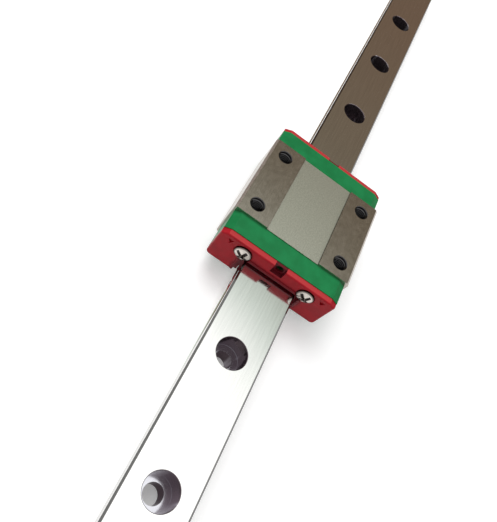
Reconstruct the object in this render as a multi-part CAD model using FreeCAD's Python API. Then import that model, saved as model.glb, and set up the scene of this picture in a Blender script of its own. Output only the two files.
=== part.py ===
"""Miniature profile rail guide: a 12 mm ground rail with one short recirculating ball carriage.

Millimetres. The rail runs along X and stands on Z = 0, with the origin under its middle.
Left is +Y, far is +X. The carriage is built about X = 0 and then moved to its rest place.
"""
import FreeCAD
import Part
import math
import os

V = FreeCAD.Vector

# Rail
rail_length = 200.0
rail_width = 12.0
rail_height = 8.0
rail_edge_chamfer = 0.35
rail_end_chamfer = 0.25
hole_pitch = 25.0
bolt_hole_diameter = 3.5
counterbore_diameter = 6.0
counterbore_depth = 4.5
counterbore_chamfer = 0.1

# Balls and their tracks
ball_diameter = 2.381
ball_drop = 2.2              # from the rail's top face down to the ball centres
ball_offset = 0.2            # from the rail's side face out to the loaded ball centres
ball_gap = 0.03              # between neighbouring balls
track_fit = 0.012            # between a loaded ball and its raceways
raceway_conformity = 0.53    # raceway radius over ball diameter
contact_angle = 45.0
row_wall = 1.52              # between the balls of the loaded row and those of the returning row
return_clearance = 0.13      # around a ball in a bore or a turn
wire_diameter = 0.5
wire_gap = 0.06              # between a ball and the retaining wire
wire_slot_clearance = 0.14   # around the wire's straight run
wire_groove_clearance = 0.07  # around the wire's hooks
wire_bend_radius = 0.6
wire_hook_length = 3.6       # from the wire's straight run out to the end of its hook

# Carriage
carriage_rest_x = -28.1
carriage_width = 27.0
carriage_rise = 5.0          # from the rail's top face up to the carriage's top face
skirt_depth = 5.0            # from the rail's top face down to the carriage's underside
block_length = 21.7
block_edge_chamfer = 0.5
block_foot_chamfer = 0.4
channel_side_clearance = 0.45
channel_top_clearance = 0.4
centre_strip_width = 12.2
centre_strip_depth = 0.4
mount_end_distance = 3.35    # from the block's end face to its threaded holes
mount_side_distance = 3.5    # from the block's side face to its threaded holes
mount_hole_diameter = 3.0    # outside size of the M3 thread, whose ridges the scene adds
mount_hole_depth = 3.5
mount_hole_chamfer = 0.12
drill_point_angle = 118.0

# End caps
turn_wall = 1.28             # between a turn and the cap's outer face
cap_width = 26.2
cap_top_step = 0.6           # below the carriage's top face
cap_corner_width = 1.5
cap_corner_drop = 0.75
cap_foot_round = 0.9
cap_rail_clearance = 0.3
guide_flange = 0.7           # above and below the ball path in a return guide
guide_clearance = 0.03
oil_hole_diameter = 1.4
oil_hole_drop = 1.2          # below the cap's top face
oil_channel_width = 0.8
oil_channel_depth = 0.5

# End seals
seal_thickness = 1.3
seal_top_step = 0.2          # below the cap's top face
seal_back_thickness = 0.55   # the wiping lip's layer, next to the cap
seal_edge_round = 0.4
seal_mouth_side = 0.9        # the outer layer's gap to the rail
seal_mouth_top = 0.55
lip_clearance = 0.1
mouth_bead_width = 0.55
mouth_bead_height = 0.3
mouth_bead_round = 0.24
oil_window_width = 2.6
oil_window_drop = 2.45       # from the cap's top face down to the window's lower edge
oil_window_hole_diameter = 1.7
dent_width = 1.3             # of the three-sided dents in the seal's face
dent_height = 1.15
dent_depth = 0.4
dent_inset = 2.55            # from the seal's side to the dent's middle
dent_drop = 1.25             # from the cap's top face down to the dent's upper edge

# Cap screws
screw_offset = 1.3           # from the rail's side face out to the screws
screw_height = 1.7           # above the rail's top face
screw_diameter = 2.0
screw_length = 10.0          # under the head
screw_tip_chamfer = 0.3
screw_clearance = 0.03       # in the block
cap_hole_clearance = 0.06    # around the screws in the cap and the seal
screw_hole_extra = 0.5       # hole left below the screw's tip
screw_head_diameter = 3.5
screw_head_height = 1.3
screw_head_rim = 0.65        # the head's upright side, below its dome
screw_seat_depth = 0.4
screw_seat_clearance = 0.25
cross_width = 0.7
cross_span = 2.5             # at the head's crown
cross_floor_span = 1.2
cross_depth = 0.9
cross_turn = {"far_left": 10, "far_right": 70, "near_left": 25, "near_right": 55}

# Worked out from the values above
ball_radius = ball_diameter / 2
groove_radius = ball_diameter * raceway_conformity
rail_side = rail_width / 2
ball_height = rail_height - ball_drop
load_y = rail_side + ball_offset
track_spacing = ball_diameter + row_wall
return_y = load_y + track_spacing
turn_y = load_y + track_spacing / 2
turn_radius = track_spacing / 2
bore_radius = ball_radius + return_clearance
wire_y = load_y - ball_radius - wire_gap - wire_diameter / 2
half_block = block_length / 2
cap_face = half_block + turn_radius + bore_radius + turn_wall
seal_face = cap_face + seal_thickness
carriage_top = rail_height + carriage_rise
carriage_foot = rail_height - skirt_depth
cap_top = carriage_top - cap_top_step
channel_side = rail_side + channel_side_clearance
channel_top = rail_height + channel_top_clearance
mouth_side = rail_side + seal_mouth_side
mouth_top = rail_height + seal_mouth_top
lip_face = cap_face + seal_back_thickness
screw_y = rail_side + screw_offset
screw_z = rail_height + screw_height
screw_seat = seal_face - screw_seat_depth
oil_z = cap_top - oil_hole_drop
past = 1.0                   # how far a cutter runs past the face it opens


# Small shape helpers

def prism(outline, x_from, x_to):
    """Solid with a (y, z) outline between two X planes."""
    corners = [V(x_from, y, z) for y, z in outline]
    wire = Part.makePolygon(corners + corners[:1])
    return Part.Face(wire).extrude(V(x_to - x_from, 0, 0))


def block_between(low, high):
    """Box between two opposite corners."""
    size = [b - a for a, b in zip(low, high)]
    return Part.makeBox(*size, V(*low))


def rod(radius, start, end):
    """Cylinder from one point to another."""
    axis = V(*end) - V(*start)
    return Part.makeCylinder(radius, axis.Length, V(*start), axis)


def mirrored_y(shape):
    """The same shape on the other side of the rail."""
    return shape.mirror(V(0, 0, 0), V(0, 1, 0))


def mirrored_x(shape):
    """The same shape at the other end of the carriage."""
    return shape.mirror(V(0, 0, 0), V(1, 0, 0))


def both_sides(shape):
    """A shape and its mirror image, as one."""
    return shape.fuse(mirrored_y(shape))


def long_edges(solid, test):
    """The edges that run along X through points that pass a test."""
    ends = [e for e in solid.Edges if len(e.Vertexes) == 2]
    along_x = [e for e in ends if e.BoundBox.YLength + e.BoundBox.ZLength < 1e-3]
    return [e for e in along_x if test(e.CenterOfMass)]


def face_edges(solid, x, above):
    """The edges that lie in an X plane, except those along a height."""
    in_plane = [e for e in solid.Edges if near(e.BoundBox.XMin, x) and near(e.BoundBox.XMax, x)]
    return [e for e in in_plane if e.CenterOfMass.z > above + 1e-3]


def near(a, b):
    """True for two equal lengths."""
    return abs(a - b) < 1e-4


# The ball tracks

def gothic_bar(x_from, x_to, outward):
    """Pointed-arch track space on the left side: it touches the balls at two angles.

    outward is 1 for the carriage's raceway and -1 for the rail's.
    """
    shift = groove_radius - ball_radius - track_fit
    along = shift * math.cos(math.radians(contact_angle))
    across = shift * math.sin(math.radians(contact_angle))
    y = load_y - outward * along
    low, high = ball_height - across, ball_height + across
    lower = rod(groove_radius, (x_from, y, low), (x_to, y, low))
    upper = rod(groove_radius, (x_from, y, high), (x_to, y, high))
    return lower.common(upper)


def wire_slot(x_from, x_to):
    """Relief at the bottom of the rail's raceway, where the retaining wire passes."""
    reach = wire_diameter / 2 + wire_slot_clearance
    low, high = ball_height - reach, ball_height + reach
    return block_between((x_from, wire_y - reach, low), (x_to, load_y, high))


def rail_mouth(side_gap, top_gap, track_gap, x_from, x_to):
    """Space around the rail for a part that follows its section, down into the raceways."""
    side, top = rail_side + side_gap, rail_height + top_gap
    space = prism([(-side, -past), (side, -past), (side, top), (-side, top)], x_from, x_to)
    rib_radius = groove_radius - track_gap
    rib = rod(rib_radius, (x_from, load_y, ball_height), (x_to, load_y, ball_height))
    return space.cut(both_sides(rib))


def turn_space():
    """Half ring that a ball sweeps in the far left turn."""
    ring = Part.makeTorus(turn_radius, bore_radius, V(half_block, turn_y, ball_height), V(0, 0, 1))
    reach = turn_radius + bore_radius
    keep = block_between(
        (half_block, turn_y - reach - past, ball_height - reach),
        (half_block + reach + past, turn_y + reach + past, ball_height + reach),
    )
    return ring.common(keep)


def circuit_point(travel):
    """Ball centre (x, y) and zone after some travel round the left circuit."""
    turn = math.pi * turn_radius
    travel %= 2 * (block_length + turn)
    if travel < block_length:
        return travel - half_block, load_y, "loaded"
    travel -= block_length
    if travel < turn:
        angle = travel / turn_radius
        x = half_block + turn_radius * math.sin(angle)
        return x, turn_y - turn_radius * math.cos(angle), "turning"
    travel -= turn
    if travel < block_length:
        return half_block - travel, return_y, "returning"
    angle = (travel - block_length) / turn_radius
    x = -half_block - turn_radius * math.sin(angle)
    return x, turn_y + turn_radius * math.cos(angle), "turning"


def next_travel(travel, pitch):
    """Travel at which the ball after this one lies a pitch away, found by halving."""
    x, y, _zone = circuit_point(travel)
    low, high = travel, travel + 2 * pitch
    while high - low > 1e-6:
        middle = (low + high) / 2
        next_x, next_y, _zone = circuit_point(middle)
        if math.hypot(next_x - x, next_y - y) < pitch:
            low = middle
        else:
            high = middle
    return high


def ball_places():
    """Centres of the balls in the left circuit, by zone, each one a ball and a gap from the last."""
    pitch = ball_diameter + ball_gap
    whole = 2 * (block_length + math.pi * turn_radius)
    places = {"loaded": [], "turning": [], "returning": []}
    start = ball_radius
    travel = start
    while travel < start + whole - pitch:
        x, y, zone = circuit_point(travel)
        places[zone].append((x, y))
        travel = next_travel(travel, pitch)
    return places


def ball_group(centres):
    """Separate balls as one group."""
    balls = [Part.makeSphere(ball_radius, V(x, y, ball_height)) for x, y in centres]
    return Part.makeCompound(balls)


# The rail

def bolt_places():
    """X of every bolt hole, evenly pitched about the rail's middle."""
    count = int(rail_length / hole_pitch)
    return [(i - (count - 1) / 2) * hole_pitch for i in range(count)]


def bolt_hole(x):
    """Stepped hole for a socket head screw, with a broken top edge."""
    seat = rail_height - counterbore_depth
    shank = rod(bolt_hole_diameter / 2, (x, 0, -past), (x, 0, seat + past / 2))
    head = rod(counterbore_diameter / 2, (x, 0, seat), (x, 0, rail_height + past))
    radius, c = counterbore_diameter / 2, counterbore_chamfer
    mouth = Part.makeCone(radius, radius + c, c, V(x, 0, rail_height - c))
    return shank.fuse([head, mouth])


def end_bevels(half):
    """Bar whose ends are bevelled all round, for the rail to be kept inside."""
    c, wide, high = rail_end_chamfer, rail_side, rail_height
    profile = [(-half, c), (-half, high - c), (-half + c, high), (half - c, high),
               (half, high - c), (half, c), (half - c, 0), (-half + c, 0)]
    plan = [(-half, -wide + c), (-half + c, -wide), (half - c, -wide), (half, -wide + c),
            (half, wide - c), (half - c, wide), (-half + c, wide), (-half, wide - c)]
    side_view = [V(x, -wide, z) for x, z in profile]
    top_view = [V(x, y, 0) for x, y in plan]
    across = Part.Face(Part.makePolygon(side_view + side_view[:1])).extrude(V(0, rail_width, 0))
    upright = Part.Face(Part.makePolygon(top_view + top_view[:1])).extrude(V(0, 0, rail_height))
    return across.common(upright)


def rail():
    """Ground rail with a raceway down each side and a row of counterbored holes."""
    half = rail_length / 2
    c = rail_edge_chamfer
    outline = [
        (-rail_side + c, 0), (rail_side - c, 0), (rail_side, c), (rail_side, rail_height - c),
        (rail_side - c, rail_height), (-rail_side + c, rail_height), (-rail_side, rail_height - c),
        (-rail_side, c),
    ]
    body = prism(outline, -half, half).common(end_bevels(half))
    track = gothic_bar(-half - past, half + past, -1)
    slot = wire_slot(-half - past, half + past)
    holes = [bolt_hole(x) for x in bolt_places()]
    return body.cut([track, mirrored_y(track), slot, mirrored_y(slot)] + holes)


# The carriage's steel block

def mount_hole(x, y):
    """Blind hole for a screw from above, with a drill point and a broken edge."""
    radius = mount_hole_diameter / 2
    floor = carriage_top - mount_hole_depth
    point = radius / math.tan(math.radians(drill_point_angle / 2))
    hole = rod(radius, (x, y, floor), (x, y, carriage_top + past))
    tip = Part.makeCone(0, radius, point, V(x, y, floor - point))
    c = mount_hole_chamfer
    edge = Part.makeCone(radius, radius + c, c, V(x, y, carriage_top - c))
    return hole.fuse([tip, edge])


def runner_block():
    """Hardened steel block that rides on the balls: channel, raceways, return bores and screw holes."""
    half_width = carriage_width / 2
    top, foot, c, f = carriage_top, carriage_foot, block_edge_chamfer, block_foot_chamfer
    outline = [
        (-half_width + f, foot), (half_width - f, foot), (half_width, foot + f),
        (half_width, top - c), (half_width - c, top), (-half_width + c, top),
        (-half_width, top - c), (-half_width, foot + f),
    ]
    body = prism(outline, -half_block, half_block)
    x_from, x_to = -half_block - past, half_block + past
    channel = block_between((x_from, -channel_side, -past), (x_to, channel_side, channel_top))
    half_strip = centre_strip_width / 2
    strip = block_between(
        (x_from, -half_strip, top - centre_strip_depth), (x_to, half_strip, top + past))
    track = gothic_bar(x_from, x_to, 1)
    bore = rod(bore_radius, (x_from, return_y, ball_height), (x_to, return_y, ball_height))
    hole_end = screw_seat - screw_length - screw_hole_extra
    screw_hole = rod(
        screw_diameter / 2 + screw_clearance, (hole_end, screw_y, screw_z), (x_to, screw_y, screw_z))
    one_side = [track, bore, screw_hole, mirrored_x(screw_hole)]
    hole_x = half_block - mount_end_distance
    hole_y = half_width - mount_side_distance
    holes = [mount_hole(sx * hole_x, sy * hole_y) for sx in (-1, 1) for sy in (-1, 1)]
    return body.cut([channel, strip] + one_side + [mirrored_y(s) for s in one_side] + holes)


# End cap, return guides, seal and screws, all at the far end

def end_outline(top):
    """Outline shared by the end caps and the seals: sloped shoulders over upright sides."""
    half = cap_width / 2
    shoulder = half - cap_corner_width
    corner = top - cap_corner_drop
    return [
        (-half, carriage_foot), (half, carriage_foot), (half, corner), (shoulder, top),
        (-shoulder, top), (-half, corner),
    ]


def end_plate(x_from, x_to, top):
    """Plate with the shared outline and rounded lower corners."""
    plate = prism(end_outline(top), x_from, x_to)
    feet = long_edges(plate, lambda p: near(abs(p.y), cap_width / 2) and near(p.z, carriage_foot))
    return plate.makeFillet(cap_foot_round, feet)


def guide_body(clearance):
    """Half-round plug that forms the inside of the far left turn."""
    radius = turn_radius - clearance
    height = bore_radius + guide_flange - clearance
    whole = Part.makeCylinder(radius, 2 * height, V(half_block, turn_y, ball_height - height))
    front = block_between(
        (half_block, turn_y - turn_radius - past, ball_height - height - past),
        (half_block + turn_radius + past, turn_y + turn_radius + past, ball_height + height + past),
    )
    return whole.common(front)


def return_guide():
    """Far left return guide: the plug with its ball groove."""
    return guide_body(guide_clearance).cut(turn_space())


def hook_groove():
    """Groove across the cap's outer face for the hooked end of the left retaining wire."""
    half = wire_diameter / 2 + wire_groove_clearance
    floor = cap_face - 2 * half
    end = wire_y + wire_hook_length + wire_groove_clearance
    return block_between((floor, 0, ball_height - half), (cap_face + past, end, ball_height + half))


def oil_ways():
    """Oil hole in the cap's outer face, and the channels behind it that lead to both turns."""
    hole = rod(oil_hole_diameter / 2, (half_block - past, 0, oil_z), (cap_face + past, 0, oil_z))
    back = half_block + oil_channel_depth
    half = oil_channel_width / 2
    start, end = half_block - past, turn_y + half
    cross = block_between((start, -end, oil_z - half), (back, end, oil_z + half))
    drop = block_between((start, turn_y - half, ball_height), (back, end, oil_z + half))
    return hole.fuse([cross, drop, mirrored_y(drop)])


def end_cap():
    """Far end cap: it turns the balls round and holds the retaining wires."""
    body = end_plate(half_block, cap_face, cap_top)
    mouth = rail_mouth(
        cap_rail_clearance, cap_rail_clearance, cap_rail_clearance, half_block - past, cap_face + past)
    wire_way = both_sides(rod(
        wire_diameter / 2 + wire_slot_clearance,
        (half_block - past, wire_y, ball_height), (cap_face + past, wire_y, ball_height)))
    screw_hole = rod(
        screw_diameter / 2 + cap_hole_clearance,
        (half_block - past, screw_y, screw_z), (cap_face + past, screw_y, screw_z))
    one_side = [turn_space(), guide_body(0), hook_groove(), screw_hole]
    cutters = [mouth, wire_way, oil_ways()] + one_side + [mirrored_y(s) for s in one_side]
    return body.cut(cutters)


def mouth_bead():
    """Raised line round the seal's mouth."""
    w = mouth_bead_width
    foot, side, top = carriage_foot + w, mouth_side + w, mouth_top + w
    crest = seal_face + mouth_bead_height
    outer = prism([(-side, foot), (side, foot), (side, top), (-side, top)], lip_face, crest)
    return outer.makeFillet(mouth_bead_round, face_edges(outer, crest, foot))


def dent():
    """Shallow three-sided dent in the seal's face, its point down."""
    y, top, half = cap_width / 2 - dent_inset, cap_top - dent_drop, dent_width / 2
    outline = [(y - half, top), (y + half, top), (y, top - dent_height)]
    return prism(outline, seal_face - dent_depth, seal_face + past)


def end_seal():
    """Far end seal: an outer frame with a wide mouth over a thin lip that wipes the rail."""
    plate = end_plate(cap_face, seal_face, cap_top - seal_top_step)
    plate = plate.makeFillet(seal_edge_round, face_edges(plate, seal_face, carriage_foot))
    plate = plate.fuse(mouth_bead())
    out = seal_face + past
    mouth = block_between((lip_face, -mouth_side, -past), (out, mouth_side, mouth_top))
    lip = rail_mouth(lip_clearance, lip_clearance, lip_clearance, cap_face - past, out)
    start, end = (cap_face - past, screw_y, screw_z), (out, screw_y, screw_z)
    hole = rod(screw_diameter / 2 + cap_hole_clearance, start, end)
    seat_radius = screw_head_diameter / 2 + screw_seat_clearance
    seat = rod(seat_radius, (screw_seat, screw_y, screw_z), end)
    half_window = oil_window_width / 2
    window = block_between(
        (lip_face, -half_window, cap_top - oil_window_drop), (out, half_window, cap_top + past))
    oil_hole = rod(oil_window_hole_diameter / 2, (cap_face - past, 0, oil_z), (seal_face, 0, oil_z))
    one_side = [seat, hole, dent()]
    return plate.cut([mouth, lip, window, oil_hole] + one_side + [mirrored_y(s) for s in one_side])


def cross_recess(crown):
    """Cross-shaped driver recess, narrowing towards its floor."""
    taper = (cross_span - cross_floor_span) / 2 / cross_depth
    mouth = cross_span / 2 + taper * past
    floor = cross_floor_span / 2
    outline = [
        V(crown + past, -mouth, 0), V(crown + past, mouth, 0),
        V(crown - cross_depth, floor, 0), V(crown - cross_depth, -floor, 0)]
    arm = Part.Face(Part.makePolygon(outline + outline[:1])).extrude(V(0, 0, cross_width))
    arm.translate(V(0, 0, -cross_width / 2))
    other = arm.copy()
    other.rotate(V(0, 0, 0), V(1, 0, 0), 90)
    return arm.fuse(other)


def cap_screw(turn):
    """Far left cap screw: cross-recessed pan head on a plain shank, turned about its own axis."""
    head_radius = screw_head_diameter / 2
    radius = screw_diameter / 2
    tip = screw_seat - screw_length
    crown = screw_seat + screw_head_height
    shoulder = screw_seat + screw_head_rim
    rise = crown - shoulder
    dome_radius = (head_radius ** 2 + rise ** 2) / (2 * rise)
    half_angle = math.asin(head_radius / dome_radius) / 2
    middle_x = crown - dome_radius * (1 - math.cos(half_angle))
    middle = V(middle_x, dome_radius * math.sin(half_angle), 0)
    dome = Part.Arc(V(shoulder, head_radius, 0), middle, V(crown, 0, 0)).toShape()
    points = [
        V(crown, 0, 0), V(tip, 0, 0), V(tip, radius - screw_tip_chamfer, 0),
        V(tip + screw_tip_chamfer, radius, 0), V(screw_seat, radius, 0),
        V(screw_seat, head_radius, 0), V(shoulder, head_radius, 0)]
    wire = Part.Wire([dome] + Part.makePolygon(points).Edges)
    screw = Part.Face(wire).revolve(V(0, 0, 0), V(1, 0, 0), 360)
    screw = screw.cut(cross_recess(crown))
    screw.rotate(V(0, 0, 0), V(1, 0, 0), turn)
    screw.translate(V(0, screw_y, screw_z))
    return screw


# The retaining wire

def retaining_wire():
    """Left wire that keeps the loaded balls in the block: a straight run with a hook at each end."""
    reach = cap_face - wire_diameter / 2 - wire_groove_clearance
    bend = wire_bend_radius
    end = wire_y + wire_hook_length
    z = ball_height
    turn = bend * (1 - math.sqrt(0.5))
    straight = Part.LineSegment(V(-reach + bend, wire_y, z), V(reach - bend, wire_y, z)).toShape()
    bends, hooks = [], []
    for side in (-1, 1):
        start = V(side * (reach - bend), wire_y, z)
        middle = V(side * (reach - turn), wire_y + turn, z)
        stop = V(side * reach, wire_y + bend, z)
        bends.append(Part.Arc(start, middle, stop).toShape())
        hooks.append(Part.LineSegment(stop, V(side * reach, end, z)).toShape())
    path = Part.Wire(Part.__sortEdges__([hooks[0], bends[0], straight, bends[1], hooks[1]]))
    section = Part.Wire(Part.makeCircle(wire_diameter / 2, V(-reach, end, z), V(0, 1, 0)))
    return path.makePipeShell([section], True, False)


# Assembly

def at_corner(piece, end, side):
    """A far left piece, moved to one of the carriage's four corners."""
    piece = mirrored_x(piece) if end == "near" else piece
    return mirrored_y(piece) if side == "right" else piece


def carriage_parts():
    """Every piece of the carriage by name, about the carriage's own middle."""
    cap, seal, guide, wire = end_cap(), end_seal(), return_guide(), retaining_wire()
    parts = {
        "runner_block": runner_block(),
        "far_end_cap": cap,
        "near_end_cap": mirrored_x(cap),
        "far_end_seal": seal,
        "near_end_seal": mirrored_x(seal),
        "left_retaining_wire": wire,
        "right_retaining_wire": mirrored_y(wire),
    }
    for end in ("far", "near"):
        for side in ("left", "right"):
            corner = end + "_" + side
            parts[corner + "_return_guide"] = at_corner(guide, end, side)
            parts[corner + "_cap_screw"] = at_corner(cap_screw(cross_turn[corner]), end, side)
    for zone, centres in ball_places().items():
        balls = ball_group(centres)
        parts["left_" + zone + "_balls"] = balls
        parts["right_" + zone + "_balls"] = mirrored_y(balls)
    return parts


def save(name, shape):
    """Write one piece to its own file."""
    shape.exportStep(os.path.join("parts", name + ".step"))


os.makedirs("parts", exist_ok=True)
save("rail", rail())
for part_name, part in carriage_parts().items():
    part.translate(V(carriage_rest_x, 0, 0))
    save(part_name, part)
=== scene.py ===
"""Linear guide rail: finishes, threads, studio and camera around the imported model.

Lengths are in metres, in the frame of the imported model: X runs along the rail, Y to its left
and Z up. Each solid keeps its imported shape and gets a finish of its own.
"""

import logging
import math
from abc import ABC, abstractmethod
from dataclasses import dataclass
from enum import Enum
from typing import ClassVar

import bpy
from mathutils import Matrix, Vector


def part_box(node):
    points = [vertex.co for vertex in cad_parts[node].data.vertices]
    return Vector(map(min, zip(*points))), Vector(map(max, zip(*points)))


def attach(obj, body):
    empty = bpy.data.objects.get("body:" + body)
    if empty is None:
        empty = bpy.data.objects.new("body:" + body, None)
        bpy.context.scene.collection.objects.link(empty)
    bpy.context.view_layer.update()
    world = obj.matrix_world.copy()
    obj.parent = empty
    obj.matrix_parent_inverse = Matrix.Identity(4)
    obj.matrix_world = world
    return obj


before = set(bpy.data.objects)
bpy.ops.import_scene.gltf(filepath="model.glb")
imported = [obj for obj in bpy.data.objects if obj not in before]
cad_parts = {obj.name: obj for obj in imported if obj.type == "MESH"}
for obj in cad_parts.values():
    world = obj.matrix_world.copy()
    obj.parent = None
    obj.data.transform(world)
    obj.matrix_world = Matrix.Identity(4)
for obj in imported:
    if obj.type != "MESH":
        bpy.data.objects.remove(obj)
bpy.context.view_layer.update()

LOG = logging.getLogger("linear_guide")
MM = 0.001
Colour = tuple[float, float, float]
Place = tuple[float, float, float]
Scale = tuple[float, float, float]
Plug = bpy.types.NodeSocket | float | int | tuple


class Side(Enum):
    """The rail's two sides, named as seen looking along +X."""

    LEFT = "left"
    RIGHT = "right"


class End(Enum):
    """The carriage's two ends."""

    FAR = "far"
    NEAR = "near"


class Graph:
    """Short calls for the nodes of one tree."""

    def __init__(self, tree: bpy.types.NodeTree) -> None:
        """Keeps the tree.

        Args:
            tree: The tree that every call adds to.
        """
        self.tree = tree

    def node(self, kind: str, **settings: object) -> bpy.types.Node:
        """Adds one node.

        Args:
            kind: Blender's name of the node.
            settings: The node's own options.

        Returns:
            The new node.
        """
        made = self.tree.nodes.new(kind)
        for name, value in settings.items():
            setattr(made, name, value)
        return made

    def feed(self, socket: bpy.types.NodeSocket, value: Plug) -> None:
        """Links a socket to an output, or sets it to a plain value.

        Args:
            socket: The input to set.
            value: An output of another node, or a number or colour.
        """
        if isinstance(value, bpy.types.NodeSocket):
            self.tree.links.new(value, socket)
        else:
            socket.default_value = value

    def math(self, operation: str, *values: Plug) -> bpy.types.NodeSocket:
        """Works out one sum.

        Args:
            operation: Blender's name of the operation.
            values: Its numbers, in order.

        Returns:
            The result.
        """
        made = self.node("ShaderNodeMath", operation=operation)
        for socket, value in zip(made.inputs, values):
            self.feed(socket, value)
        return made.outputs[0]

    def ramp(self, value: Plug, low: float, high: float,
             start: float = 0.0, end: float = 1.0) -> bpy.types.NodeSocket:
        """Turns a range of one value smoothly into a range of another.

        Args:
            value: The value to read.
            low: Where the result is start.
            high: Where the result is end.
            start: The result at low and below.
            end: The result at high and above.

        Returns:
            The result.
        """
        made = self.node("ShaderNodeMapRange", interpolation_type="SMOOTHSTEP")
        for name, number in (("Value", value), ("From Min", low), ("From Max", high),
                             ("To Min", start), ("To Max", end)):
            self.feed(made.inputs[name], number)
        return made.outputs["Result"]

    def blend(self, share: Plug, first: Plug, second: Plug) -> bpy.types.NodeSocket:
        """Mixes two colours.

        Args:
            share: 0 for the first colour, 1 for the second.
            first: The first colour.
            second: The second colour.

        Returns:
            The mixed colour.
        """
        made = self.node("ShaderNodeMix", data_type="RGBA")
        factors, colours = made.inputs[0], (made.inputs[6], made.inputs[7])
        self.feed(factors, share)
        for socket, colour in zip(colours, (first, second)):
            self.feed(socket, (*colour, 1.0) if isinstance(colour, tuple) else colour)
        return made.outputs[2]

    def noise(self, place: Plug, per_metre: Scale, detail: float = 3.0) -> bpy.types.NodeSocket:
        """Makes a noise that may be stretched along an axis.

        Args:
            place: The coordinates to read.
            per_metre: Number of features per metre along X, Y and Z.
            detail: Number of finer layers.

        Returns:
            A value about 0.5.
        """
        mapping = self.node("ShaderNodeMapping")
        self.feed(mapping.inputs["Vector"], place)
        mapping.inputs["Scale"].default_value = per_metre
        made = self.node("ShaderNodeTexNoise")
        self.feed(made.inputs["Vector"], mapping.outputs["Vector"])
        made.inputs["Scale"].default_value = 1.0
        made.inputs["Detail"].default_value = detail
        return made.outputs["Fac"]

    def bump(self, height: Plug, distance: float) -> bpy.types.NodeSocket:
        """Turns a height into a normal.

        Args:
            height: The height, from 0 to 1.
            distance: What a height of 1 stands for, in metres.

        Returns:
            The normal.
        """
        made = self.node("ShaderNodeBump")
        made.inputs["Strength"].default_value = 1.0
        made.inputs["Distance"].default_value = distance
        self.feed(made.inputs["Height"], height)
        return made.outputs["Normal"]


@dataclass(frozen=True)
class Spot:
    """Where a point of the surface is, as the three sockets of its coordinates."""

    place: bpy.types.NodeSocket
    x: bpy.types.NodeSocket
    y: bpy.types.NodeSocket
    z: bpy.types.NodeSocket


class Finish(ABC):
    """A procedural finish, made once and shared by the pieces that wear it."""

    name: str
    made: ClassVar[dict[str, bpy.types.Material]] = {}

    def material(self) -> bpy.types.Material:
        """Makes the material, or finds it if another piece wears it already.

        Returns:
            The material.
        """
        if self.name not in Finish.made:
            made = bpy.data.materials.new(self.name)
            Finish.made[self.name] = made
            made.use_nodes = True
            made.node_tree.nodes.clear()
            graph = Graph(made.node_tree)
            shader = graph.node("ShaderNodeBsdfPrincipled")
            output = graph.node("ShaderNodeOutputMaterial")
            graph.feed(output.inputs["Surface"], shader.outputs["BSDF"])
            place = graph.node("ShaderNodeTexCoord").outputs["Object"]
            axes = graph.node("ShaderNodeSeparateXYZ")
            graph.feed(axes.inputs["Vector"], place)
            self.dress(graph, shader, Spot(place, *axes.outputs))
        return Finish.made[self.name]

    @abstractmethod
    def dress(self, graph: Graph, shader: bpy.types.Node, spot: Spot) -> None:
        """Sets the shader's colour, roughness and relief.

        Args:
            graph: The material's nodes.
            shader: The material's shader.
            spot: Where the surface is.
        """

    def wear(self, node: str) -> None:
        """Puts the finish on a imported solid.

        Args:
            node: The solid's name.
        """
        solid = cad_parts[node]
        material = self.material()
        solid.data.materials.clear()
        solid.data.materials.append(material)
        LOG.info("%s wears %s", node, self.name)


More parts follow.
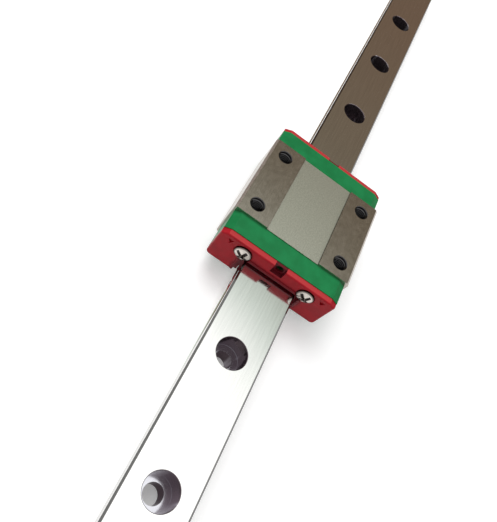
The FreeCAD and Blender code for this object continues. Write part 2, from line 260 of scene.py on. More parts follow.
@dataclass(frozen=True)
class RailSteel(Finish):
    """Hardened rail: ground along its length, with painted shade and glints in its turned holes,
    a painted dark reflection on its edge bevels and painted light on its side faces.
    """

    name: str = "rail_steel"
    bright: Colour = (0.68, 0.675, 0.66)
    dull: Colour = (0.625, 0.62, 0.605)
    # Painted light: the side faces are lighter than the ground top, so that they read near-white.
    side: Colour = (0.82, 0.815, 0.80)
    cut: Colour = (0.42, 0.41, 0.40)
    half_length: float = 100 * MM
    # Painted shade and painted glints in the holes: the walls are dark, the lighter patches are
    # partly turning marks and partly painted glints, and the step ring is kept darker than the
    # ground top.
    bore: Colour = (0.15, 0.118, 0.13)
    bore_light: Colour = (0.56, 0.53, 0.57)
    # Specular tint of the holes: painted shade that dims their grazing reflections.
    bore_glance: Colour = (0.40, 0.36, 0.39)
    bore_metal: float = 0.80
    step: Colour = (0.46, 0.46, 0.49)
    step_height: float = 3.5 * MM
    # Painted dark reflection along the edge bevels.
    bevel: Colour = (0.16, 0.16, 0.155)
    hole_pitch: float = 25 * MM
    hole_radius: float = 3.12 * MM
    half_width: float = 6 * MM
    height: float = 8 * MM
    bevel_size: float = 0.35 * MM
    mask_margin: float = 0.05 * MM
    rim_margin: float = 0.01 * MM
    side_from: float = 4.5 * MM
    raceway_low: float = 4.6 * MM
    raceway_high: float = 7.0 * MM
    fine_lines: Scale = (90, 9000, 9000)
    wide_lines: Scale = (150, 2600, 2600)
    smear_scale: Scale = (90, 260, 260)
    turned_scale: Scale = (420, 420, 60)
    line_spread: tuple[float, float] = (0.36, 0.64)
    turned_spread: tuple[float, float] = (0.52, 0.66)
    ground_roughness: float = 0.06
    smear_roughness: float = 0.05
    raceway_polish: float = 0.06
    dark_roughness: float = 0.03
    cut_roughness: float = 0.22
    streak_height: float = 0.0005 * MM

    def dress(self, graph: Graph, shader: bpy.types.Node, spot: Spot) -> None:
        """Grinding lines along X, polished raceways, painted shade and glints in the holes,
        painted dark bevels, painted light on the sides.
        """
        fine = graph.noise(spot.place, self.fine_lines, 4)
        wide = graph.noise(spot.place, self.wide_lines, 3)
        streaks = graph.math("MULTIPLY", graph.math("ADD", fine, wide), 0.5)
        smears = graph.noise(spot.place, self.smear_scale, 3)
        ground = graph.blend(graph.ramp(streaks, *self.line_spread), self.dull, self.bright)

        half = self.hole_pitch / 2
        along = graph.math("WRAP", graph.math("SUBTRACT", spot.x, half), half, -half)
        from_axis = graph.math("SQRT", graph.math("ADD", graph.math("MULTIPLY", along, along),
                                                  graph.math("MULTIPLY", spot.y, spot.y)))
        in_hole = graph.math("MULTIPLY",
                             graph.math("LESS_THAN", from_axis, self.hole_radius),
                             graph.math("LESS_THAN", spot.z, self.height - self.rim_margin))
        aside = graph.math("ABSOLUTE", spot.y)
        corner = self.half_width + self.height - self.bevel_size - self.mask_margin
        on_bevel = graph.math("GREATER_THAN", graph.math("ADD", aside, spot.z), corner)
        # Painted shade in the holes, with lighter patches that are partly turning marks and
        # partly painted glints.
        marks = graph.noise(spot.place, self.turned_scale, 2)
        turned = graph.blend(graph.ramp(marks, *self.turned_spread), self.bore, self.bore_light)
        on_step = graph.math("COMPARE", spot.z, self.step_height, self.mask_margin)
        on_wall = graph.math("MULTIPLY", in_hole, graph.math("SUBTRACT", 1.0, on_step))
        turned = graph.blend(on_step, turned, self.step)
        # Painted light: the side faces below the top bevels get the lighter side colour.
        below = graph.math("LESS_THAN", spot.z, self.height - self.bevel_size)
        on_side = graph.math("MULTIPLY", below,
                             graph.math("GREATER_THAN", aside, self.side_from))
        coloured = graph.blend(on_side, ground, self.side)
        # Painted dark reflection on the edge bevels.
        coloured = graph.blend(on_bevel, coloured, self.bevel)
        at_end = graph.math("GREATER_THAN", graph.math("ABSOLUTE", spot.x),
                            self.half_length - self.mask_margin)
        coloured = graph.blend(at_end, coloured, self.cut)
        coloured = graph.blend(in_hole, coloured, turned)
        graph.feed(shader.inputs["Base Color"], coloured)
        # Painted shade: grazing reflections in the holes are tinted down.
        graph.feed(shader.inputs["Specular Tint"],
                   graph.blend(in_hole, (1.0, 1.0, 1.0), self.bore_glance))
        graph.feed(shader.inputs["Metallic"],
                   graph.math("SUBTRACT", 1.0,
                              graph.math("MULTIPLY", on_wall, 1.0 - self.bore_metal)))

        in_raceway = graph.math("MULTIPLY",
                                graph.math("GREATER_THAN", spot.z, self.raceway_low),
                                graph.math("LESS_THAN", spot.z, self.raceway_high))
        rough = graph.math("ADD", self.ground_roughness,
                           graph.math("MULTIPLY", graph.math("ADD", streaks, smears),
                                      self.smear_roughness))
        rough = graph.math("SUBTRACT", rough,
                           graph.math("MULTIPLY", in_raceway, self.raceway_polish))
        dark = graph.math("MAXIMUM", in_hole, on_bevel)
        rough = graph.math("ADD", rough, graph.math("MULTIPLY", dark, self.dark_roughness))
        rough = graph.math("ADD", rough, graph.math("MULTIPLY", at_end, self.cut_roughness))
        graph.feed(shader.inputs["Roughness"], rough)
        graph.feed(shader.inputs["Normal"], graph.bump(streaks, self.streak_height))


@dataclass(frozen=True)
class BlockSteel(Finish):
    """Carriage block: ground pads, a matt blasted strip along the middle, painted shade in the
    tapped holes and along the strip's edges.
    """

    name: str = "block_steel"
    pad: Colour = (0.50, 0.452, 0.405)
    pad_dull: Colour = (0.43, 0.388, 0.346)
    strip: Colour = (0.57, 0.58, 0.505)
    strip_dull: Colour = (0.43, 0.44, 0.372)
    # Painted shade: a dark line along the inner corner where the strip meets the pads' step.
    corner: Colour = (0.20, 0.19, 0.165)
    corner_reach: float = 0.1 * MM
    # Painted shade: the tapped holes and their thread are dark.
    tapped: Colour = (0.09, 0.088, 0.09)
    hole_radius: float = 1.65 * MM
    hole_spacing: tuple[float, float] = (15 * MM, 20 * MM)
    centre_x: float = -28.1 * MM
    strip_half_width: float = 6.1 * MM
    strip_height: float = 12.6 * MM
    mask_margin: float = 0.06 * MM
    pad_lines: Scale = (300, 5000, 5000)
    patch_scale: Scale = (900, 900, 900)
    grain_scale: Scale = (4200, 4200, 4200)
    worn_spread: tuple[float, float] = (0.36, 0.64)
    grain_spread: tuple[float, float] = (0.34, 0.66)
    pad_roughness: float = 0.2
    patch_roughness: float = 0.08
    strip_roughness: float = 0.42
    hole_floor: float = 8 * MM
    relief: float = 0.002 * MM

    def dress(self, graph: Graph, shader: bpy.types.Node, spot: Spot) -> None:
        """Fine grinding lines on the pads, an even grain on the strip, painted shade in the holes
        and at the strip's edges.
        """
        streaks = graph.noise(spot.place, self.pad_lines, 4)
        patches = graph.noise(spot.place, self.patch_scale, 5)
        grain = graph.noise(spot.place, self.grain_scale, 4)
        flat = graph.math("COMPARE", spot.z, self.strip_height, self.mask_margin)
        aside = graph.math("ABSOLUTE", spot.y)
        on_strip = graph.math("MULTIPLY", flat, graph.math("LESS_THAN", aside,
                                                           self.strip_half_width))
        worn = graph.math("MULTIPLY", graph.math("ADD", streaks, patches), 0.5)
        pads = graph.blend(graph.ramp(worn, *self.worn_spread), self.pad_dull, self.pad)
        strip = graph.blend(graph.ramp(grain, *self.grain_spread), self.strip_dull, self.strip)
        along = graph.math("SUBTRACT", graph.math("ABSOLUTE",
                                                  graph.math("SUBTRACT", spot.x, self.centre_x)),
                           self.hole_spacing[0] / 2)
        across = graph.math("SUBTRACT", aside, self.hole_spacing[1] / 2)
        from_axis = graph.math("SQRT", graph.math("ADD", graph.math("MULTIPLY", along, along),
                                                  graph.math("MULTIPLY", across, across)))
        in_hole = graph.math("MULTIPLY", graph.math("LESS_THAN", from_axis, self.hole_radius),
                             graph.math("GREATER_THAN", spot.z, self.hole_floor))
        coloured = graph.blend(on_strip, pads, strip)
        # Painted shade along the strip's inner corners.
        at_corner = graph.math("COMPARE", aside, self.strip_half_width, self.corner_reach)
        low = graph.math("LESS_THAN", spot.z, self.strip_height + self.corner_reach)
        high = graph.math("GREATER_THAN", spot.z, self.strip_height - self.corner_reach)
        at_corner = graph.math("MULTIPLY", at_corner, graph.math("MULTIPLY", low, high))
        coloured = graph.blend(at_corner, coloured, self.corner)
        # Painted shade in the tapped holes.
        graph.feed(shader.inputs["Base Color"], graph.blend(in_hole, coloured, self.tapped))
        shader.inputs["Metallic"].default_value = 1.0
        rough = graph.math("ADD", self.pad_roughness,
                           graph.math("MULTIPLY", patches, self.patch_roughness))
        lift = graph.math("MULTIPLY", on_strip, self.strip_roughness - self.pad_roughness)
        graph.feed(shader.inputs["Roughness"], graph.math("ADD", rough, lift))
        height = graph.math("ADD", graph.math("MULTIPLY", on_strip, grain),
                            graph.math("MULTIPLY", graph.math("SUBTRACT", 1, on_strip), streaks))
        graph.feed(shader.inputs["Normal"], graph.bump(height, self.relief))


@dataclass(frozen=True)
class MouldedPlastic(Finish):
    """Injection-moulded plastic: an even satin with a faint mould texture and flow clouds."""

    name: str
    colour: Colour
    shade: Colour
    roughness: float = 0.42
    gloss_level: float = 0.22
    grain_height: float = 0.004 * MM
    cloud_scale: Scale = (350, 350, 350)
    grain_scale: Scale = (7000, 7000, 7000)
    cloud_spread: tuple[float, float] = (0.3, 0.7)
    cloud_roughness: float = 0.1

    def dress(self, graph: Graph, shader: bpy.types.Node, spot: Spot) -> None:
        """Clouds of colour a few millimetres across, and a fine grain."""
        clouds = graph.noise(spot.place, self.cloud_scale, 3)
        grain = graph.noise(spot.place, self.grain_scale, 2)
        soft = graph.ramp(clouds, *self.cloud_spread)
        graph.feed(shader.inputs["Base Color"], graph.blend(soft, self.shade, self.colour))
        rough = graph.math("ADD", self.roughness - self.cloud_roughness / 2,
                           graph.math("MULTIPLY", clouds, self.cloud_roughness))
        graph.feed(shader.inputs["Roughness"], rough)
        graph.feed(shader.inputs["Normal"], graph.bump(grain, self.grain_height))
        shader.inputs["Specular IOR Level"].default_value = self.gloss_level


@dataclass(frozen=True)
class CapPlastic(MouldedPlastic):
    """Moulded plastic of the end caps, with painted shade in the lubrication port."""

    # Painted shade in the port's recess behind the seal's window.
    painted_shade: Colour = (0.003, 0.045, 0.014)
    centre_x: float = -28.1 * MM
    port_half_width: float = 1.35 * MM
    port_foot: float = 9.6 * MM
    port_top: float = 12.1 * MM
    port_from: float = 13.0 * MM

    def dress(self, graph: Graph, shader: bpy.types.Node, spot: Spot) -> None:
        """The plain plastic, then the painted shade in the port."""
        super().dress(graph, shader, spot)
        clean = shader.inputs["Base Color"].links[0].from_socket
        out = graph.math("ABSOLUTE", graph.math("SUBTRACT", spot.x, self.centre_x))
        across = graph.math("LESS_THAN", graph.math("ABSOLUTE", spot.y), self.port_half_width)
        height = graph.math("MULTIPLY", graph.math("GREATER_THAN", spot.z, self.port_foot),
                            graph.math("LESS_THAN", spot.z, self.port_top))
        deep = graph.math("GREATER_THAN", out, self.port_from)
        port = graph.math("MULTIPLY", graph.math("MULTIPLY", across, height), deep)
        # Painted shade in the port.
        graph.feed(shader.inputs["Base Color"], graph.blend(port, clean, self.painted_shade))


@dataclass(frozen=True)
class SealPlastic(MouldedPlastic):
    """Moulded plastic of the end seals, with a painted highlight on the top faces and painted
    shade round the mouth and in the lubrication window.
    """

    # Painted shade round the mouth and in the window's recess.
    painted_shade: Colour = (0.10, 0.006, 0.012)
    # Painted highlight: the top faces are paler.
    painted_top_highlight: Colour = (0.50, 0.036, 0.040)
    top: float = 12.2 * MM
    top_margin: float = 0.05 * MM
    centre_x: float = -28.1 * MM
    mouth_side: float = 6.9 * MM
    mouth_top: float = 8.55 * MM
    # Painted shade round the mouth: full strength near its edges, fading out between these
    # distances.
    mouth_shade: tuple[float, float] = (0.15 * MM, 1.3 * MM)
    mouth_shade_strength: float = 0.85
    window_strength: float = 0.9
    window_half_width: float = 1.32 * MM
    window_foot: float = 9.9 * MM
    face: float = 17.0 * MM
    window_depth: float = 0.1 * MM

    def dress(self, graph: Graph, shader: bpy.types.Node, spot: Spot) -> None:
        """The plain plastic, then the painted highlight on top and the painted shade."""
        super().dress(graph, shader, spot)
        clean = shader.inputs["Base Color"].links[0].from_socket
        # Painted highlight on the top faces.
        on_top = graph.math("GREATER_THAN", spot.z, self.top - self.top_margin)
        clean = graph.blend(on_top, clean, self.painted_top_highlight)
        aside = graph.math("ABSOLUTE", spot.y)
        beside = graph.math("MAXIMUM", graph.math("SUBTRACT", aside, self.mouth_side),
                            graph.math("SUBTRACT", spot.z, self.mouth_top))
        # Painted shade round the mouth.
        mouth_shade = graph.ramp(beside, *self.mouth_shade, self.mouth_shade_strength, 0)
        out = graph.math("ABSOLUTE", graph.math("SUBTRACT", spot.x, self.centre_x))
        sunk = graph.math("LESS_THAN", out, self.face - self.window_depth)
        across = graph.math("LESS_THAN", aside, self.window_half_width)
        above = graph.math("GREATER_THAN", spot.z, self.window_foot)
        window = graph.math("MULTIPLY", graph.math("MULTIPLY", sunk, across), above)
        window = graph.math("MULTIPLY", window, self.window_strength)
        # Painted shade round the mouth and in the window.
        shade_share = graph.math("MAXIMUM", mouth_shade, window)
        graph.feed(shader.inputs["Base Color"], graph.blend(shade_share, clean, self.painted_shade))


@dataclass(frozen=True)
class PolishedMetal(Finish):
    """Bright plated or drawn metal with fine handling marks."""

    name: str
    colour: Colour
    shade: Colour
    roughness: float
    marks_per_metre: Scale = (2500, 2500, 2500)
    mark_height: float = 0.002 * MM
    mark_roughness: float = 0.06

    def dress(self, graph: Graph, shader: bpy.types.Node, spot: Spot) -> None:
        """Marks that vary the colour, the gloss and the relief a little."""
        marks = graph.noise(spot.place, self.marks_per_metre, 3)
        graph.feed(shader.inputs["Base Color"], graph.blend(marks, self.shade, self.colour))
        shader.inputs["Metallic"].default_value = 1.0
        rough = graph.math("ADD", self.roughness,
                           graph.math("MULTIPLY", marks, self.mark_roughness))
        graph.feed(shader.inputs["Roughness"], rough)
        graph.feed(shader.inputs["Normal"], graph.bump(marks, self.mark_height))


@dataclass(frozen=True)
class ScrewPlating(PolishedMetal):
    """Bright plating, with painted shade in and beyond the driver's cross and round the head's
    rim.
    """

    turn: float = 0.0
    # Painted shade in the driver's cross, reaching past the recess.
    painted_cross_shade: Colour = (0.045, 0.04, 0.04)
    # Painted shade round the head's rim.
    rim: Colour = (0.17, 0.145, 0.13)
    rim_radius: tuple[float, float] = (1.45 * MM, 1.68 * MM)
    arm_half_width: float = 0.33 * MM
    arm_reach: float = 1.38 * MM
    axis_y: float = 7.3 * MM
    axis_z: float = 9.7 * MM

    def dress(self, graph: Graph, shader: bpy.types.Node, spot: Spot) -> None:
        """The bright plating, then the painted shade of the cross and of the rim."""
        super().dress(graph, shader, spot)
        bright = shader.inputs["Base Color"].links[0].from_socket
        across = graph.math("SUBTRACT", graph.math("ABSOLUTE", spot.y), self.axis_y)
        up = graph.math("SUBTRACT", spot.z, self.axis_z)
        radius = graph.math("SQRT", graph.math("ADD", graph.math("MULTIPLY", across, across),
                                               graph.math("MULTIPLY", up, up)))
        cosine, sine = math.cos(self.turn), math.sin(self.turn)
        along = graph.math("ADD", graph.math("MULTIPLY", across, cosine),
                           graph.math("MULTIPLY", up, sine))
        beside = graph.math("SUBTRACT", graph.math("MULTIPLY", up, cosine),
                            graph.math("MULTIPLY", across, sine))
        nearer = graph.math("MINIMUM", graph.math("ABSOLUTE", along),
                            graph.math("ABSOLUTE", beside))
        # Painted shade along the cross's arms.
        in_arm = graph.math("LESS_THAN", nearer, self.arm_half_width)
        cross = graph.math("MULTIPLY", in_arm, graph.math("LESS_THAN", radius, self.arm_reach))
        # Painted shade round the rim.
        plated = graph.blend(graph.ramp(radius, *self.rim_radius), bright, self.rim)
        graph.feed(shader.inputs["Base Color"], graph.blend(cross, plated, self.painted_cross_shade))


RAIL_STEEL = RailSteel()
BLOCK_STEEL = BlockSteel()
CAP_GREEN = CapPlastic("cap_plastic", (0.006, 0.222, 0.064), (0.004, 0.176, 0.048), 0.38)
SEAL_RED = SealPlastic("seal_plastic", (0.46, 0.010, 0.020), (0.36, 0.008, 0.016), 0.38, 0.16)
GUIDE_BLACK = MouldedPlastic("guide_plastic", (0.022, 0.022, 0.024), (0.016, 0.016, 0.018), 0.38)
BALL_STEEL = PolishedMetal("ball_steel", (0.72, 0.72, 0.72), (0.68, 0.68, 0.68), 0.04,
                           mark_height=0.0002 * MM)
WIRE_STEEL = PolishedMetal("wire_steel", (0.55, 0.55, 0.54), (0.45, 0.45, 0.44), 0.2,
                           (120, 9000, 9000))
SCREW_TURNS = {(End.FAR, Side.LEFT): 10, (End.FAR, Side.RIGHT): 70,
               (End.NEAR, Side.LEFT): 25, (End.NEAR, Side.RIGHT): 55}


def screw_nickel(end: End, side: Side) -> ScrewPlating:
    """Makes the plating of one screw, whose cross has its own turn.

    Args:
        end: The carriage's end.
        side: The screw's side.

    Returns:
        The finish.
    """
    return ScrewPlating(f"{end.value}_{side.value}_plating", (0.74, 0.69, 0.63),
                        (0.50, 0.46, 0.42), 0.18, turn=math.radians(SCREW_TURNS[end, side]))


@dataclass
class Thread:
    """The screw thread inside the block's four tapped holes."""

    centre_x: float
    spacing_x: float = 15 * MM
    spacing_y: float = 20 * MM
    major_radius: float = 1.5 * MM
    pitch: float = 0.5 * MM
    turns: float = 5.8
    top: float = 12.6 * MM
    ridge_height: float = 0.27 * MM
    steps_per_turn: int = 28
    ridge_corners: int = 4

    def tree(self, material: bpy.types.Material) -> bpy.types.NodeTree:
        """Builds the helix of one thread and repeats it at the four holes.

        Args:
            material: The thread's material.

        Returns:
            The Geometry Nodes tree.
        """
        tree = bpy.data.node_groups.new("tapped_thread", "GeometryNodeTree")
        tree.interface.new_socket("Geometry", in_out="OUTPUT",
                                  socket_type="NodeSocketGeometry")
        for name in ("Radius", "Pitch", "Turns", "Ridge", "Spacing X", "Spacing Y"):
            tree.interface.new_socket(name, in_out="INPUT", socket_type="NodeSocketFloat")
        tree.interface.new_socket("Place", in_out="INPUT", socket_type="NodeSocketVector")
        graph = Graph(tree)
        given = graph.node("NodeGroupInput").outputs
        helix = graph.node("GeometryNodeCurveSpiral")
        graph.feed(helix.inputs["Resolution"], self.steps_per_turn)
        graph.feed(helix.inputs["Rotations"], given["Turns"])
        graph.feed(helix.inputs["Start Radius"], given["Radius"])
        graph.feed(helix.inputs["End Radius"], given["Radius"])
        graph.feed(helix.inputs["Height"], graph.math("MULTIPLY", given["Turns"], given["Pitch"]))
        upright = graph.node("GeometryNodeSetCurveNormal")
        upright.mode = "Z_UP"
        graph.feed(upright.inputs["Curve"], helix.outputs["Curve"])
        ridge = graph.node("GeometryNodeCurvePrimitiveCircle")
        graph.feed(ridge.inputs["Resolution"], self.ridge_corners)
        graph.feed(ridge.inputs["Radius"], given["Ridge"])
        sweep = graph.node("GeometryNodeCurveToMesh")
        graph.feed(sweep.inputs["Curve"], upright.outputs["Curve"])
        graph.feed(sweep.inputs["Profile Curve"], ridge.outputs["Curve"])
        graph.feed(sweep.inputs["Fill Caps"], True)
        holes = graph.node("GeometryNodeMeshGrid")
        graph.feed(holes.inputs["Size X"], given["Spacing X"])
        graph.feed(holes.inputs["Size Y"], given["Spacing Y"])
        graph.feed(holes.inputs["Vertices X"], 2)
        graph.feed(holes.inputs["Vertices Y"], 2)
        repeat = graph.node("GeometryNodeInstanceOnPoints")
        graph.feed(repeat.inputs["Points"], holes.outputs["Mesh"])
        graph.feed(repeat.inputs["Instance"], sweep.outputs["Mesh"])
        placed = graph.node("GeometryNodeTransform")
        graph.feed(placed.inputs["Geometry"], repeat.outputs["Instances"])
        graph.feed(placed.inputs["Translation"], given["Place"])
        real = graph.node("GeometryNodeRealizeInstances")
        graph.feed(real.inputs["Geometry"], placed.outputs["Geometry"])
        coat = graph.node("GeometryNodeSetMaterial")
        graph.feed(coat.inputs["Geometry"], real.outputs["Geometry"])
        coat.inputs["Material"].default_value = material
        output = graph.node("NodeGroupOutput")
        graph.feed(output.inputs["Geometry"], coat.outputs["Geometry"])
        return tree

    def build(self, material: bpy.types.Material) -> bpy.types.Object:
        """Makes the thread of all four holes as one plain mesh.

        Args:
            material: The thread's material.

        Returns:
            The thread, in place.
        """
        bottom = self.top - self.turns * self.pitch
        values = {"Radius": self.major_radius, "Pitch": self.pitch, "Turns": self.turns,
                  "Ridge": self.ridge_height, "Spacing X": self.spacing_x,
                  "Spacing Y": self.spacing_y, "Place": (self.centre_x, 0.0, bottom)}
        return grown("block_thread", self.tree(material), values)


def grown(name: str, tree: bpy.types.NodeTree, values: dict[str, object]) -> bpy.types.Object:
    """Runs a Geometry Nodes tree and keeps its result as a plain mesh.

    Args:
        name: The piece's name.
        tree: The tree to run.
        values: The tree's inputs by name.

    Returns:
        An object at the origin that holds the mesh.
    """
    piece = bpy.data.objects.new(name, bpy.data.meshes.new(name))
    bpy.context.scene.collection.objects.link(piece)
    modifier = piece.modifiers.new("grow", "NODES")
    modifier.node_group = tree
    for item in tree.interface.items_tree:
        if item.in_out == "INPUT":
            modifier[item.identifier] = values[item.name]
    piece.update_tag()
    bpy.context.view_layer.update()
    graph = bpy.context.evaluated_depsgraph_get()
    mesh = bpy.data.meshes.new_from_object(piece.evaluated_get(graph))
    piece.modifiers.remove(modifier)
    piece.data = mesh
    return piece


@dataclass
class Rail:
    """The ground rail with its counterbored holes."""

    node: str = "rail"

    def build(self) -> None:
        """Finishes the rail."""
        RAIL_STEEL.wear(self.node)


@dataclass
class Block:
    """The carriage's steel body and the thread in its four holes."""

    node: str = "runner_block"
    body: str = "carriage"

    def build(self) -> None:
        """Finishes the block and adds its thread."""
        BLOCK_STEEL.wear(self.node)
        low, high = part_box(self.node)
        thread = Thread(centre_x=(low.x + high.x) / 2).build(BLOCK_STEEL.material())
        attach(thread, self.body)
        LOG.info("%s has %d faces", thread.name, len(thread.data.polygons))


@dataclass
class EndUnit:
    """One end of the carriage: cap, seal, two return guides and two screws."""

    end: End

    def build(self) -> None:
        """Finishes every piece of the end."""
        CAP_GREEN.wear(f"{self.end.value}_end_cap")
        SEAL_RED.wear(f"{self.end.value}_end_seal")
        for side in Side:
            GUIDE_BLACK.wear(f"{self.end.value}_{side.value}_return_guide")
            screw_nickel(self.end, side).wear(f"{self.end.value}_{side.value}_cap_screw")


@dataclass
class BallCircuit:
    """One side's balls and the wire that keeps them in."""

    side: Side

    def build(self) -> None:
        """Finishes the three groups of balls and the wire."""
        for group in ("loaded", "turning", "returning"):
            BALL_STEEL.wear(f"{self.side.value}_{group}_balls")
        WIRE_STEEL.wear(f"{self.side.value}_retaining_wire")


@dataclass
class Studio:
    """White floor and surroundings, one soft lamp, and a grey card that the steel reflects."""

    floor_half: float = 3.0
    floor_lift: float = 0.26
    floor_fade: tuple[float, float] = (0.25, 1.2)
    floor_bounce: float = 0.4
    floor_white: Colour = (0.9, 0.9, 0.9)
    dome_level: float = 0.57
    lamp_place: Place = (0.22, 0.22, 0.58)
    lamp_size: float = 0.4
    lamp_power: float = 2.4
    card_radius: float = 0.55
    card_headings: tuple[float, float] = (-75.0, 60.0)
    card_heights: tuple[float, float] = (2.0, 66.0)
    cap_headings: tuple[float, float] = (-180.0, 180.0)
    cap_heights: tuple[float, float] = (66.0, 90.0)
    card_steps: int = 24
    card_stops: tuple[tuple[float, Colour], ...] = (
        (0, (0.19, 0.12, 0.085)), (24, (0.21, 0.14, 0.095)), (40, (0.22, 0.175, 0.125)),
        (51, (0.23, 0.21, 0.155)), (57, (0.60, 0.66, 0.59)), (61, (0.88, 0.97, 0.90)),
        (66, (1.5, 1.53, 1.5)), (74, (1.9, 1.9, 1.9)))

    def build(self) -> None:
        """Makes the floor, the world, the lamp and the card."""
        self.build_world()
        self.build_floor()
        self.build_lamp()
        self.build_card()

    def seen_directly(self, graph: Graph) -> bpy.types.NodeSocket:
        """Finds the rays that show the surroundings themselves.

        Args:
            graph: The nodes to add to.

        Returns:
            1 for camera, mirror and transmission rays.
        """
        rays = graph.node("ShaderNodeLightPath").outputs
        shiny = graph.math("MAXIMUM", rays["Is Glossy Ray"], rays["Is Transmission Ray"])
        return graph.math("MAXIMUM", rays["Is Camera Ray"], shiny)

    def build_world(self) -> None:
        """Makes a plain white dome."""
        world = bpy.data.worlds.new("studio")
        bpy.context.scene.world = world
        world.use_nodes = True
        world.node_tree.nodes.clear()
        graph = Graph(world.node_tree)
        sky = graph.node("ShaderNodeBackground")
        sky.inputs["Color"].default_value = (1, 1, 1, 1)
        level = graph.ramp(self.seen_directly(graph), 0, 1, self.dome_level, 1)
        graph.feed(sky.inputs["Strength"], level)
        output = graph.node("ShaderNodeOutputWorld")
        graph.feed(output.inputs["Surface"], sky.outputs["Background"])

    def build_floor(self) -> None:
        """Makes a white floor that keeps the object's shadow."""
        half = self.floor_half
        corners = [(-half, -half, 0), (half, -half, 0), (half, half, 0), (-half, half, 0)]
        floor = mesh_object("floor", corners, [(0, 1, 2, 3)])
        material = bpy.data.materials.new("white_floor")
        material.use_nodes = True
        material.node_tree.nodes.clear()
        graph = Graph(material.node_tree)
        paper = graph.node("ShaderNodeBsdfDiffuse")
        grey = (self.floor_bounce,) * 3
        graph.feed(paper.inputs["Color"],
                   graph.blend(self.seen_directly(graph), grey, self.floor_white))
        away = graph.node("ShaderNodeVectorMath", operation="LENGTH")
        graph.feed(away.inputs[0], graph.node("ShaderNodeTexCoord").outputs["Object"])
        level = graph.ramp(away.outputs["Value"], *self.floor_fade, self.floor_lift, 1)
        lift = graph.node("ShaderNodeEmission")
        graph.feed(lift.inputs["Strength"],
                   graph.math("MULTIPLY", self.seen_directly(graph), level))
        both = graph.node("ShaderNodeAddShader")
        graph.feed(both.inputs[0], paper.outputs["BSDF"])
        graph.feed(both.inputs[1], lift.outputs["Emission"])
        output = graph.node("ShaderNodeOutputMaterial")
        graph.feed(output.inputs["Surface"], both.outputs["Shader"])
        floor.data.materials.append(material)

    def build_lamp(self) -> None:
        """Hangs one broad soft lamp over the far left."""
        light = bpy.data.lights.new("soft_lamp", "AREA")
        light.shape = "SQUARE"
        light.size = self.lamp_size
        light.energy = self.lamp_power
        lamp = bpy.data.objects.new("soft_lamp", light)
        lamp.visible_glossy = False
        bpy.context.scene.collection.objects.link(lamp)
        place = Vector(self.lamp_place)
        lamp.matrix_world = (Matrix.Translation(place)
                             @ place.to_track_quat("Z", "Y").to_matrix().to_4x4())

    def build_card(self) -> None:
        """Curves a grey-brown card round the far end, with a white cap, seen in reflections."""
        points, faces = [], []
        for headings, heights in ((self.card_headings, self.card_heights),
                                  (self.cap_headings, self.cap_heights)):
            self.add_patch(points, faces, headings, heights)
        card = mesh_object("grey_card", points, faces)
        card.data.materials.append(self.card_material())
        card.visible_camera = False
        card.visible_diffuse = False
        card.visible_shadow = False
        card.visible_transmission = False
        card.visible_volume_scatter = False

    def add_patch(self, points: list[tuple], faces: list[tuple],
                  headings: tuple[float, float], heights: tuple[float, float]) -> None:
        """Adds one patch of the card's sphere.

        Args:
            points: The card's corners so far.
            faces: The card's faces so far.
            headings: Where the patch starts and ends, in degrees from +X.
            heights: Its lowest and highest point, in degrees above the floor.
        """
        steps, first = self.card_steps, len(points)
        for row in range(steps + 1):
            height = math.radians(heights[0] + (heights[1] - heights[0]) * row / steps)
            for column in range(steps + 1):
                heading = math.radians(headings[0] + (headings[1] - headings[0]) * column / steps)
                points.append((self.card_radius * math.cos(height) * math.cos(heading),
                               self.card_radius * math.cos(height) * math.sin(heading),
                               self.card_radius * math.sin(height)))
        for row in range(steps):
            for column in range(steps):
                corner = first + row * (steps + 1) + column
                faces.append((corner, corner + 1, corner + steps + 2, corner + steps + 1))

    def card_material(self) -> bpy.types.Material:
        """Makes the card's colours, from brown low down to white at its top.

        Returns:
            The card's material.
        """
        material = bpy.data.materials.new("grey_card")
        material.use_nodes = True
        material.node_tree.nodes.clear()
        graph = Graph(material.node_tree)
        place = graph.node("ShaderNodeTexCoord").outputs["Object"]
        axes = graph.node("ShaderNodeSeparateXYZ")
        graph.feed(axes.inputs["Vector"], place)
        sine = graph.math("DIVIDE", axes.outputs["Z"], self.card_radius)
        height = graph.math("DEGREES", graph.math("ARCSINE", sine))
        stops = graph.node("ShaderNodeValToRGB")
        graph.feed(stops.inputs["Fac"], graph.math("DIVIDE", height, 90))
        ramp = stops.color_ramp.elements
        while len(ramp) < len(self.card_stops):
            ramp.new(1.0)
        for stop, (degrees, colour) in zip(ramp, self.card_stops):
            stop.position = degrees / 90
            stop.color = (*colour, 1)
        glow = graph.node("ShaderNodeEmission")
        graph.feed(glow.inputs["Color"], stops.outputs["Color"])
        output = graph.node("ShaderNodeOutputMaterial")
        graph.feed(output.inputs["Surface"], glow.outputs["Emission"])
        return material


def mesh_object(name: str, points: list[tuple], faces: list[tuple]) -> bpy.types.Object:
    """Makes an object from points and faces.

    Args:
        name: The object's name.
        points: The corners, in metres.
        faces: The corners of each face, by number.

    Returns:
        The object, linked to the scene.
    """
    mesh = bpy.data.meshes.new(name)
    mesh.from_pydata(points, [], faces)
    mesh.update()
    made = bpy.data.objects.new(name, mesh)
    bpy.context.scene.collection.objects.link(made)
    return made


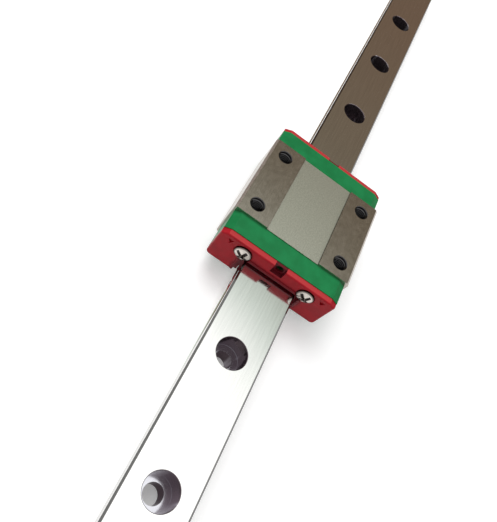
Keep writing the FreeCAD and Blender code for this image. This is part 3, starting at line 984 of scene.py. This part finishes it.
@dataclass
class PhotoCamera:
    """The camera of the photograph, from the near end looking down along the rail."""

    place: Place = (-0.104302, 0.019229, 0.091224)
    target: Place = (-0.044304, 0.005378, 0.008)
    roll: float = math.radians(45.14)
    focal_pixels: float = 540.894
    picture_width: int = 497
    sensor_width: float = 36.0
    nearest: float = 0.001
    farthest: float = 20.0

    def build(self) -> None:
        """Places the camera and makes it the scene's own."""
        data = bpy.data.cameras.new("photo_camera")
        data.sensor_fit = "HORIZONTAL"
        data.sensor_width = self.sensor_width
        data.lens = self.focal_pixels * self.sensor_width / self.picture_width
        data.clip_start = self.nearest
        data.clip_end = self.farthest
        camera = bpy.data.objects.new("photo_camera", data)
        bpy.context.scene.collection.objects.link(camera)
        place = Vector(self.place)
        forward = (Vector(self.target) - place).normalized()
        right = forward.cross(Vector((0, 0, 1))).normalized()
        up = right.cross(forward)
        across = math.cos(self.roll) * right + math.sin(self.roll) * up
        upward = -math.sin(self.roll) * right + math.cos(self.roll) * up
        turn = Matrix((across, upward, -forward)).transposed()
        camera.matrix_world = Matrix.Translation(place) @ turn.to_4x4()
        bpy.context.scene.camera = camera


def main() -> None:
    """Builds the camera, the studio and every piece in order."""
    logging.basicConfig(level=logging.INFO, format="%(message)s")
    bpy.context.scene.view_settings.view_transform = "Standard"
    PhotoCamera().build()
    Studio().build()
    Rail().build()
    Block().build()
    for end in End:
        EndUnit(end).build()
    for side in Side:
        BallCircuit(side).build()


if __name__ == "__main__":
    main()
